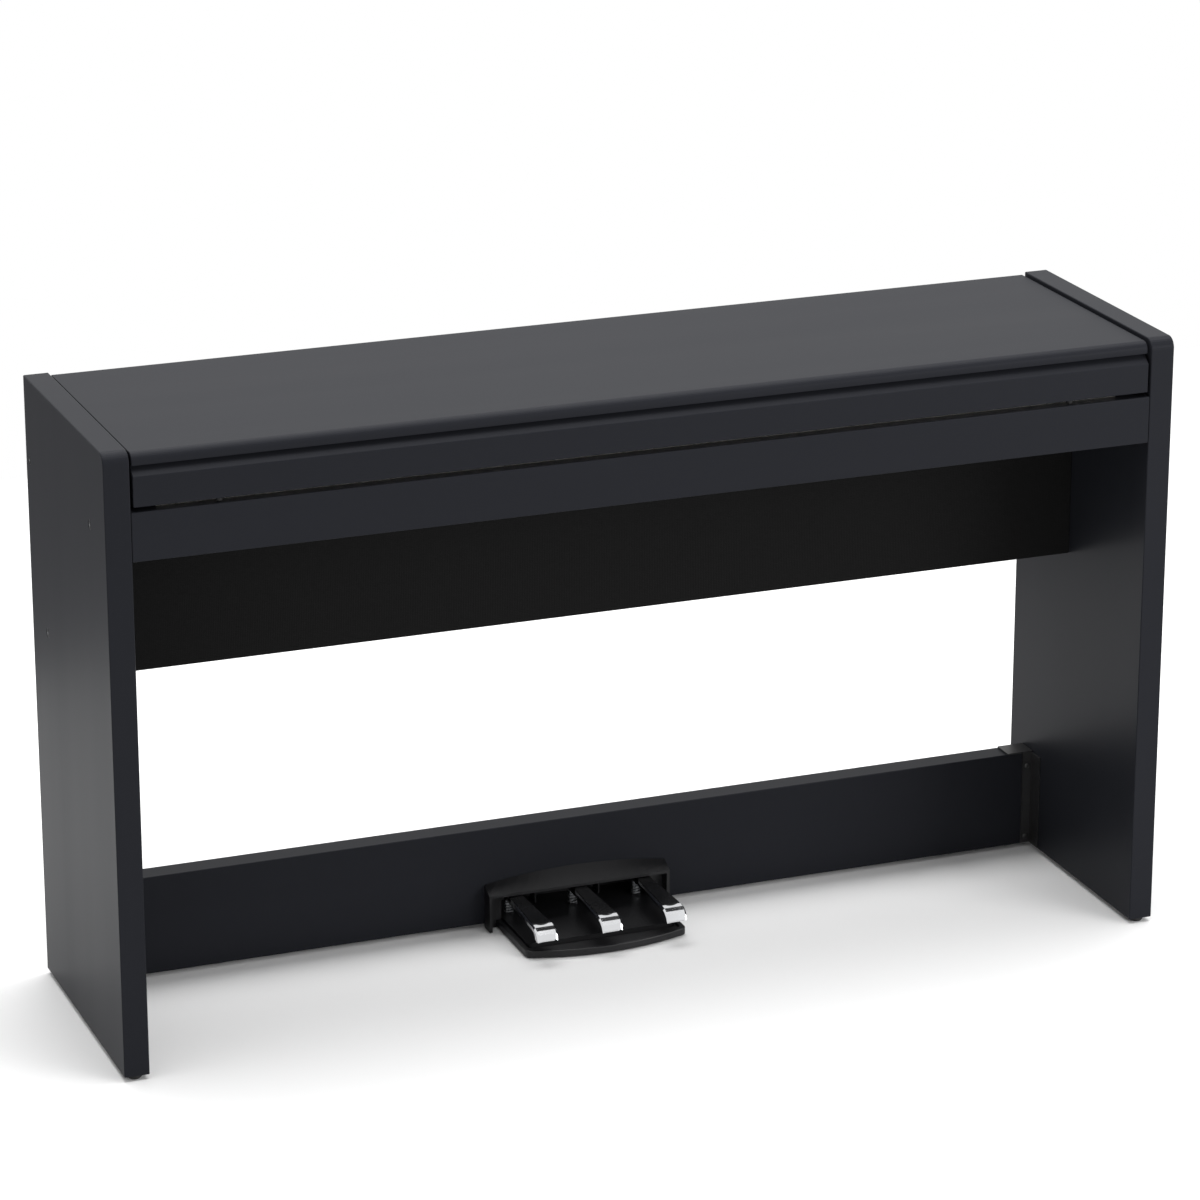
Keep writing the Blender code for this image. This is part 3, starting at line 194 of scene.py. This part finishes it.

# %% [markdown]
# ## Speaker cloth
# Black cloth is stretched over the front of the speaker box. Cloth is threads over and under each other.
# The threads could be modelled, but this panel has more than a thousand of them. Two sets of fine bands do
# it instead, one across and one up: they give the weave its relief, and they paint shade into the holes
# between the threads and a highlight on the threads' crowns.

# %% A woven material
THREAD = 0.0011
WAVE_RATE = 20  # radians to a metre in a wave texture, at a scale of one
SHADED_HOLES, LIT_CROWNS = 0.55, 1.25


def woven(name, shades, thread, roughness=0.95):
    """A cloth of crossed threads. One band of the wave texture covers a thread and the gap beside it."""
    made = bpy.data.materials.new(name)
    made.use_nodes = True
    tree = made.node_tree
    shader = tree.nodes["Principled BSDF"]
    shader.inputs["Roughness"].default_value = roughness
    shader.inputs["Sheen Weight"].default_value = 0.02
    shader.inputs["Specular IOR Level"].default_value = 0.2
    place = tree.nodes.new("ShaderNodeTexCoord")
    bands = []
    for direction in ("X", "Z"):
        wave = tree.nodes.new("ShaderNodeTexWave")
        wave.bands_direction = direction
        wave.inputs["Scale"].default_value = math.pi / thread / WAVE_RATE
        wave.inputs["Distortion"].default_value = 0.4
        link(tree, [(place.outputs["Object"], wave.inputs["Vector"])])
        bands.append(wave.outputs["Fac"])
    join = tree.nodes.new("ShaderNodeMath")
    join.operation = "MULTIPLY"
    mix = tree.nodes.new("ShaderNodeMix")
    mix.data_type = "RGBA"
    # The holes get painted shade and the thread crowns a painted highlight.
    mix.inputs["A"].default_value = colour(shades, SHADED_HOLES)
    mix.inputs["B"].default_value = colour(shades, LIT_CROWNS)
    link(tree, [(bands[0], join.inputs[0]), (bands[1], join.inputs[1]),
                (join.outputs[0], mix.inputs["Factor"]),
                (mix.outputs["Result"], shader.inputs["Base Color"]),
                (bumped(tree, join.outputs[0], 0.5, thread / 4), shader.inputs["Normal"])])
    return made


cloth = woven("speaker_cloth", (12, 12, 12), THREAD)
felt = surface("pressed_felt", (120, 24, 30), 0.95, grain=1500, relief=0.8, depth=0.0004, spread=0.25,
               vary=0.03)
print("cloth thread", round(THREAD * 1000, 2), "mm")

# %% [markdown]
# ## Moulded plastic, keys and rubber
# The pedal unit, the control panel and the keys are moulded. A moulding tool is etched, so black plastic
# has a fine, even roughness. Key tops are smoother: the naturals are a warm white, and the sharps are matt,
# like stained wood. The recipe makes them all with other numbers. For the naturals it keeps the two shades
# very close, because a white surface shows every patch.

# %% Plastics
plastic = surface("moulded_plastic", (18, 18, 20), 0.45, grain=2400, relief=0.3, gloss=0.3)
rubber = surface("rubber", (28, 28, 28), 0.85, grain=1800, relief=0.4, spread=0.2, vary=0.05)
ivory = surface("natural_key", (238, 236, 228), 0.30, grain=1200, stretch=(1, 0.1, 1), relief=0.05,
                spread=0.02)
ebony = surface("sharp_key", (20, 20, 21), 0.45, grain=900, stretch=(1, 0.1, 1), relief=0.2)
green = surface("circuit_board", (22, 70, 45), 0.45, grain=500, relief=0.2, spread=0.2)
lens = surface("lamp_lens", (170, 30, 24), 0.20, grain=900, relief=0.05)
print("plastics:", [m.name for m in (plastic, rubber, ivory, ebony, green, lens)])

# %% [markdown]
# ## Metals
# The brackets are powder coated, the springs and screws are plated, and the pedals are chromed. Powder coat
# is paint with a slight orange peel, so it isn't metal to the shader. Zinc plating is dull and streaky.
# Chrome is nearly a mirror. A clean mirror would be easy, but it looks unreal, so a very shallow relief
# keeps its reflections from being too perfect.

# %% Metals
coat = surface("powder_coat", (26, 26, 27), 0.45, 0.0, grain=1300, relief=0.4, spread=0.15)
chrome = surface("chrome", (214, 215, 217), 0.11, 1.0, grain=300, stretch=(1, 0.15, 1), relief=0.03,
                 spread=0.03, vary=0.04)
zinc = surface("zinc_plate", (150, 152, 155), 0.36, 1.0, grain=600, stretch=(0.2, 1, 1), relief=0.15,
               spread=0.1)
print("metals:", [m.name for m in (coat, chrome, zinc)])

# %% [markdown]
# ## Dress the solids
# The solids could be given their materials one by one. But a solid's name says what it is, so a short list
# of name starts does it, and a new solid of the same kind is dressed by itself. The list is read from the
# top, and the first start that fits wins. The single keys come before it: an s in a note's name is a sharp.

# %% Give each solid its material
DRESS = (("side_board", board_tall), ("cheek_block", board_long), ("lid_arm", coat),
         ("lid_bumper", rubber), ("lid", board_long), ("music_ledge", board_long),
         ("front_rail", board_long), ("pedal_board", board_long), ("key_bed", raw_board),
         ("rear_wall", raw_board), ("speaker_box", raw_board), ("speaker", plastic),
         ("grille_panel", cloth), ("unit_bracket", coat), ("end_bracket", coat), ("pedal_axle", zinc),
         ("pedal_spring", zinc), ("pedal_base", plastic), ("pedal_cover", plastic), ("pedal", chrome),
         ("volume_knob", zinc), ("naturals", ivory), ("sharps", ebony), ("key_frame", plastic),
         ("key_felt", felt), ("glide", rubber), ("main_board", green), ("jack_panel", plastic),
         ("control_panel", plastic), ("power_button", plastic), ("function_button", plastic))


def material_for(name):
    """The finish that a solid's name calls for."""
    if name.startswith("key_") and name[-1].isdigit():
        return ebony if name[5] == "s" else ivory
    return next(made for start, made in DRESS if name.startswith(start))


for name, solid in nodes.items():
    solid.data.materials.clear()
    solid.data.materials.append(material_for(name))
print("dressed", len(nodes), "solids")

# %% [markdown]
# ## Round pieces, smooth shading
# The lid's nose, the pedals and the knob are round, but their solids are made of flat faces. More faces
# would cure that and make the model heavier. Smooth shading costs nothing, because it is a look and not a
# shape: the vertices stay where they were. A limit keeps edges sharper than thirty degrees crisp.

# %% Smooth shading
SOLID_CREASE = math.radians(30)
ROUND = ("side_board", "lid", "pedal", "glide", "volume_knob", "power_button", "function_button",
         "speaker_l", "speaker_r", "control_panel", "front_rail", "cheek_block", "jack_panel",
         "music_ledge")
for name, solid in nodes.items():
    if name.startswith(ROUND):
        solid.data.shade_smooth()
        solid.data.set_sharp_from_angle(angle=SOLID_CREASE)
print("smooth:", sum(name.startswith(ROUND) for name in nodes))

# %% [markdown]
# ## From a bmesh to a piece
# Screws, inlays and sockets are too small for the solids and are added here. Blender's own primitives could
# be added and scaled, but that depends on what is selected, and they rarely have the right shape. A bmesh
# is a bare mesh in the making, which needs no selection. One helper turns it into an object, and another
# makes a piece of that object. A piece rides on a body, so it moves when that body's joint moves.

# %% Finish a piece
PIECE_CREASE = math.radians(35)


def as_object(name, bm, made):
    """A finished bmesh becomes an object with one material."""
    bmesh.ops.recalc_face_normals(bm, faces=bm.faces)
    mesh = bpy.data.meshes.new(name)
    bm.to_mesh(mesh)
    bm.free()
    mesh.materials.append(made)
    thing = bpy.data.objects.new(name, mesh)
    bpy.context.scene.collection.objects.link(thing)
    return thing


def new_piece(name, bm, made, body, bevel=0.0):
    """A finished bmesh becomes a piece that rides on a body."""
    piece = as_object(name, bm, made)
    if bevel:
        rounding = piece.modifiers.new("edges", "BEVEL")
        rounding.width = bevel
        rounding.segments = 2
    piece.data.shade_smooth()
    piece.data.set_sharp_from_angle(angle=PIECE_CREASE)
    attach(piece, body)
    return piece


print("pieces are smooth up to", round(math.degrees(PIECE_CREASE)), "degrees")

# %% [markdown]
# ## Cut from sheet, or turned
# A workshop makes most small pieces in one of two ways: it cuts an outline from sheet, or turns a section
# on a lathe. The same two ways make them here. One helper pushes an outline along a vector. The other spins
# a section of radius and height round an axis: an open section gets its two ends capped, and a closed one
# gives a ring.

# %% Outlines and turned sections


def extruded(bm, points, vector):
    """A flat outline, pushed along a vector."""
    face = bm.faces.new([bm.verts.new(p) for p in points])
    grown = bmesh.ops.extrude_face_region(bm, geom=[face])
    moved = [g for g in grown["geom"] if isinstance(g, bmesh.types.BMVert)]
    bmesh.ops.translate(bm, verts=moved, vec=vector)


def spun(bm, section, centre, axis="Z", closed=False, steps=24):
    """An (r, h) section, spun round the X, Y or Z axis through the centre."""
    circles = []
    for r, h in section:
        circle = []
        for i in range(steps):
            a, b = r * math.cos(math.tau * i / steps), r * math.sin(math.tau * i / steps)
            offset = {"X": (h, a, b), "Y": (a, h, b), "Z": (a, b, h)}[axis]
            circle.append(bm.verts.new(Vector(centre) + Vector(offset)))
        circles.append(circle)
    bands = list(zip(circles, circles[1:]))
    if closed:
        bands.append((circles[-1], circles[0]))
    for low, high in bands:
        for i in range(steps):
            bm.faces.new((low[i], low[(i + 1) % steps], high[(i + 1) % steps], high[i]))
    if not closed:
        bm.faces.new(circles[0][::-1])
        bm.faces.new(circles[-1])


print("two helpers: extruded and spun")

# %% [markdown]
# ## Screws in the side boards
# Three screws hold each side board, with their heads sunk just below its face. The heads and the washers
# under them are black. The drive and a thin rim at the edge of the sink are bright plated metal: a painted
# glint and a painted highlight where the black heads only catch light. A bump could fake them, but it
# vanishes at a low angle and in the finished mesh. So they are shapes: a low turned cap, a plus sign cut
# from sheet, and two turned rings.

# %% The plus sign of a screw drive
CROSS_REACH, CROSS_HALF = 0.0019, 0.0005


def cross(reach, half):
    """The twelve corners of a plus sign."""
    quarter = ((reach, -half), (reach, half), (half, half))
    corners = []
    for turn in range(4):
        c, s = round(math.cos(turn * math.pi / 2)), round(math.sin(turn * math.pi / 2))
        corners += [(a * c - b * s, a * s + b * c) for a, b in quarter]
    return corners


print("corners of a drive:", len(cross(CROSS_REACH, CROSS_HALF)))

# %% [markdown]
# ## Place the screws
# The heads sit at the same places in both boards, so one loop makes the left side and the right side, and
# a sign turns every depth towards the face. The heights and depths are fractions of a millimetre. None of
# the pieces stands out past the board, because the real heads are sunk too.

# %% Screws
SCREWS = ((-0.109, 0.670), (0.161, 0.670), (0.105, 0.4697))
SINK_DEPTH, HEAD_BELOW, SINK_FLOOR, RING_BELOW = 0.0012, 0.0003, 0.0001, 0.0004
CAP_R, CAP_LIFT, CAP_TIP = 0.0044, 0.00001, 0.0002
CAP_SECTION = ((1.0, 0.0), (0.9, 0.00012), (0.5, 0.00018))
DRIVE_BELOW, DRIVE_THICK = 0.0001, 0.00008
WASHER_IN, WASHER_OUT, HIGHLIGHT_RIM_OUT = 0.0046, 0.0054, 0.00585
screw_black = surface("screw_black", (9, 9, 10), 0.45, grain=1200, relief=0.1, gloss=0.25)
for side, word in ((-1, "left"), (1, "right")):
    face_x = side * cad_box[1].x
    caps, drive_glints, washers, highlight_rings = bmesh.new(), bmesh.new(), bmesh.new(), bmesh.new()
    dome = [(CAP_R * share, side * rise) for share, rise in CAP_SECTION] + [(CAP_TIP, side * CAP_TIP)]
    low, high = sorted((-side * (SINK_DEPTH - SINK_FLOOR), -side * RING_BELOW))
    for y, z in SCREWS:
        spun(caps, dome, (face_x - side * (HEAD_BELOW - CAP_LIFT), y, z), "X")
        # The drive is bright plated metal: a painted glint on the black head.
        plus = [(face_x - side * DRIVE_BELOW, y + a, z + b) for a, b in cross(CROSS_REACH, CROSS_HALF)]
        extruded(drive_glints, plus, (side * DRIVE_THICK, 0, 0))
        # The rim outside the black washer is plated metal: a painted highlight on the edge of the sink.
        for rings, inner, outer in ((washers, WASHER_IN, WASHER_OUT), (highlight_rings, WASHER_OUT, HIGHLIGHT_RIM_OUT)):
            section = ((inner, low), (outer, low), (outer, high), (inner, high))
            spun(rings, section, (face_x, y, z), "X", closed=True)
    new_piece(f"screw_caps_{word}", caps, screw_black, "cabinet")
    new_piece(f"screw_glint_crosses_{word}", drive_glints, zinc, "cabinet")
    new_piece(f"screw_washers_{word}", washers, screw_black, "cabinet")
    new_piece(f"screw_painted_highlight_rims_{word}", highlight_rings, zinc, "cabinet")
print("screws on each side:", len(SCREWS))

# %% [markdown]
# ## Painted reflections on the pedals
# The chrome pedals are bright at their rounded tips and black along their tops, with a thin bright border:
# the tops mirror the dark piano parts above them. A second material on the lever's faces would end in hard
# steps, because the faces don't follow that border. So a narrow black strip, a painted reflection of those
# dark parts, lies on each lever. It widens with the lever, ends round, has its own small bevel, and rides
# on the pedal.

# %% Painted reflections on the pedals
STRIP_Z, STRIP_T, STRIP_BEVEL = 0.04505, 0.0007, 0.0002
EDGE = ((0.1030, 0.0084), (0.0557, 0.0097), (0.0162, 0.0112), (0.0040, 0.0112))
TIP_RADIUS_Y, TIP_STEPS = 0.0080, 12
# Black on the chrome tops: a painted reflection, not a part of the pedal.
painted_reflection = surface("painted_reflection_black", (12, 12, 13), 0.28, grain=1500, relief=0.05, gloss=0.4)
y_end, half_end = EDGE[-1]
for word in ("left", "middle", "right"):
    low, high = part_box(f"pedal_{word}")
    middle = (low.x + high.x) / 2
    right = [(middle + half, y) for y, half in EDGE]
    turns = [math.pi * i / TIP_STEPS for i in range(1, TIP_STEPS)]
    tip = [(middle + half_end * math.cos(t), y_end - TIP_RADIUS_Y * math.sin(t)) for t in turns]
    left = [(middle - half, y) for y, half in reversed(EDGE)]
    bm = bmesh.new()
    extruded(bm, [(x, y, STRIP_Z) for x, y in right + tip + left], (0, 0, STRIP_T))
    new_piece(f"pedal_painted_reflection_{word}", bm, painted_reflection, f"pedal_{word}", bevel=STRIP_BEVEL)
print("one inlay on each pedal,", round(STRIP_T * 1000, 2), "mm thick")

# %% [markdown]
# ## Sockets
# The connector plate at the back has four collars with a bright metal socket in each. A dark disc would do
# from afar, but the back is looked at too. A turned section gives each socket a rounded lip and a sunk
# middle. Their places are shares of the plate's own width, so they stay on it if the plate changes.

# %% Sockets
SOCKETS = 4
SOCKET = ((0.0052, 0), (0.0052, 0.0012), (0.0042, 0.0014), (0.0036, 0.0011), (0.0030, 0.0003))
LIFT = 0.0001
plate_low, plate_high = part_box("jack_panel")
plate_middle, plate_width = (plate_low.x + plate_high.x) / 2, plate_high.x - plate_low.x
bm = bmesh.new()
for i in range(SOCKETS):
    x = plate_middle + plate_width * (i - (SOCKETS - 1) / 2) / SOCKETS
    spun(bm, SOCKET, (x, plate_high.y + LIFT, (plate_low.z + plate_high.z) / 2), "Y")
new_piece("sockets", bm, zinc, "cabinet")
print("sockets at y", round(plate_high.y, 4))

# %% [markdown]
# ## The lamp beside the power button
# A small lamp on the control panel shows that the piano is on. It is a low dome of red plastic. It could
# glow, but the piano is shown switched off, so it has a plain lens and is turned like the sockets.

# %% Lamp
LAMP = ((0.0014, 0), (0.0013, 0.0004), (0.0009, 0.0008), (0.0003, 0.0010))
LAMP_BESIDE = 0.008
button_low, button_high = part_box("power_button")
lamp_x = button_high.x + LAMP_BESIDE
lamp_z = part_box("control_panel")[1].z + LIFT
bm = bmesh.new()
spun(bm, LAMP, (lamp_x, (button_low.y + button_high.y) / 2, lamp_z))
new_piece("power_lamp", bm, lens, "cabinet")
print("lamp at x", round(lamp_x, 4))

# %% [markdown]
# ## Floor
# The photograph has a plain white background with a soft shadow under the piano. A floor that reaches the
# horizon would show its far edge as a grey band. So this pale floor ends behind the piano, where it is as
# white as the world behind it.

# %% Floor


def stage_slab(name, sides, low, thick, made):
    """A flat slab of the studio between its left, right, near and far sides."""
    left, right, near, far = sides
    bm = bmesh.new()
    corners = ((left, near), (right, near), (right, far), (left, far))
    extruded(bm, [(x, y, low) for x, y in corners], (0, 0, thick))
    slab = as_object(name, bm, made)
    return slab


FLOOR_SIDES = (-4.2, 4.2, -4.0, 2.2)
FLOOR_UNDER, FLOOR_THICK = -0.02, 0.0198
floor_paint = surface("floor_paint", (247, 247, 247), 0.85, grain=60, relief=0.02, spread=0.0, vary=0.03)
stage_slab("floor", FLOOR_SIDES, FLOOR_UNDER, FLOOR_THICK, floor_paint)
print("floor top at", round(FLOOR_UNDER + FLOOR_THICK, 4))

# %% [markdown]
# ## Background
# A studio's white paper lights the object as well as standing behind it. At full white it would wash out
# the black boards. So the world is white to the camera, in reflections and through clear things, and half
# as strong as a light on matt surfaces. The light path tells these rays apart, and the highest of the three
# answers chooses between the two strengths.

# %% World
SKY_LIGHT, SKY_SEEN = 0.50, 1.0
world = bpy.data.worlds.new("studio")
world.use_nodes = True
bpy.context.scene.world = world
tree = world.node_tree
sky = tree.nodes["Background"]
sky.inputs["Color"].default_value = (1, 1, 1, 1)
path = tree.nodes.new("ShaderNodeLightPath")
strength = tree.nodes.new("ShaderNodeMapRange")
strength.inputs["To Min"].default_value = SKY_LIGHT
strength.inputs["To Max"].default_value = SKY_SEEN
seen = path.outputs["Is Camera Ray"]
for ray in ("Is Glossy Ray", "Is Transmission Ray"):
    either = tree.nodes.new("ShaderNodeMath")
    either.operation = "MAXIMUM"
    link(tree, [(seen, either.inputs[0]), (path.outputs[ray], either.inputs[1])])
    seen = either.outputs[0]
link(tree, [(seen, strength.inputs["Value"]), (strength.outputs["Result"], sky.inputs["Strength"])])
print("sky", SKY_LIGHT, "seen", SKY_SEEN)

# %% [markdown]
# ## Lights
# Product photographs are lit through large cloth panels, which give soft shadows and broad highlights. Spot
# lamps would give hard ones. There are three square panels here: one overhead, a weak one on the left, and
# one in front on the right, which lifts the fascia, the rail and the pedals. All of them face the piano's
# middle.

# %% Soft lights
TARGET = Vector((0, 0, 0.4))
PANELS = (("overhead", (0.2, 0.3, 3.6), 4.0, 215), ("left_side", (-3.6, -0.6, 1.4), 2.4, 8),
          ("front", (3.2, -3.6, 1.4), 2.2, 100))


def panel_light(name, place, size, watts):
    """A square soft light that faces the target."""
    panel = bpy.data.lights.new(name, "AREA")
    panel.shape = "SQUARE"
    panel.size = size
    panel.energy = watts
    light = bpy.data.objects.new(name, panel)
    light.location = place
    light.rotation_mode = "QUATERNION"
    light.rotation_quaternion = (TARGET - Vector(place)).to_track_quat("-Z", "Y")
    bpy.context.scene.collection.objects.link(light)


for name, place, size, watts in PANELS:
    panel_light(name, place, size, watts)
print("lights:", len(bpy.data.lights))

# %% [markdown]
# ## A card for the reflections
# The photograph's side board is pale at its foot and darker towards its top. Light alone won't do that on a
# flat satin board: it comes from what the board reflects. A photographer lays a grey card out of the
# picture for it, and so does this cell, behind the piano. Only reflections see the card. It casts no
# shadow, sends no light to matt surfaces and isn't in the picture.

# %% Reflection card
CARD_SIDES = (-4.0, 0.7, 1.25, 4.2)
CARD_UNDER, CARD_THICK = 0.002, 0.002
card_paper = surface("card_paper", (135, 135, 137), 0.9, grain=80, relief=0.05, vary=0.03)
card = stage_slab("dark_card", CARD_SIDES, CARD_UNDER, CARD_THICK, card_paper)
card.visible_camera = False
card.visible_diffuse = False
card.visible_shadow = False
print("card seen by the camera:", card.visible_camera)

# %% [markdown]
# ## Camera
# The photograph was taken from a little to the left and above. Its long edges are nearly parallel, so the
# camera stood far off with a long lens. A short lens nearby could frame the same picture, but the near side
# board would loom over the far one. The camera looks along two angles, one round and one down.

# %% Camera
LENS, SENSOR, VIEW_END = 139.4, 36.0, 60
ROUND_ANGLE, DOWN_ANGLE = math.radians(21.3), math.radians(18.8)
EYE = Vector((-1.97, -5.03, 2.30))
camera_data = bpy.data.cameras.new("camera")
camera_data.lens = LENS
camera_data.sensor_width = SENSOR
camera_data.clip_end = VIEW_END
camera = bpy.data.objects.new("camera", camera_data)
camera.location = EYE
ahead = Vector((math.sin(ROUND_ANGLE) * math.cos(DOWN_ANGLE), math.cos(ROUND_ANGLE) * math.cos(DOWN_ANGLE),
                -math.sin(DOWN_ANGLE)))
camera.rotation_mode = "QUATERNION"
camera.rotation_quaternion = ahead.to_track_quat("-Z", "Y")
bpy.context.scene.collection.objects.link(camera)
bpy.context.scene.camera = camera
bpy.context.scene.view_settings.view_transform = "Standard"
print("camera", [round(v, 2) for v in EYE], "lens", LENS)
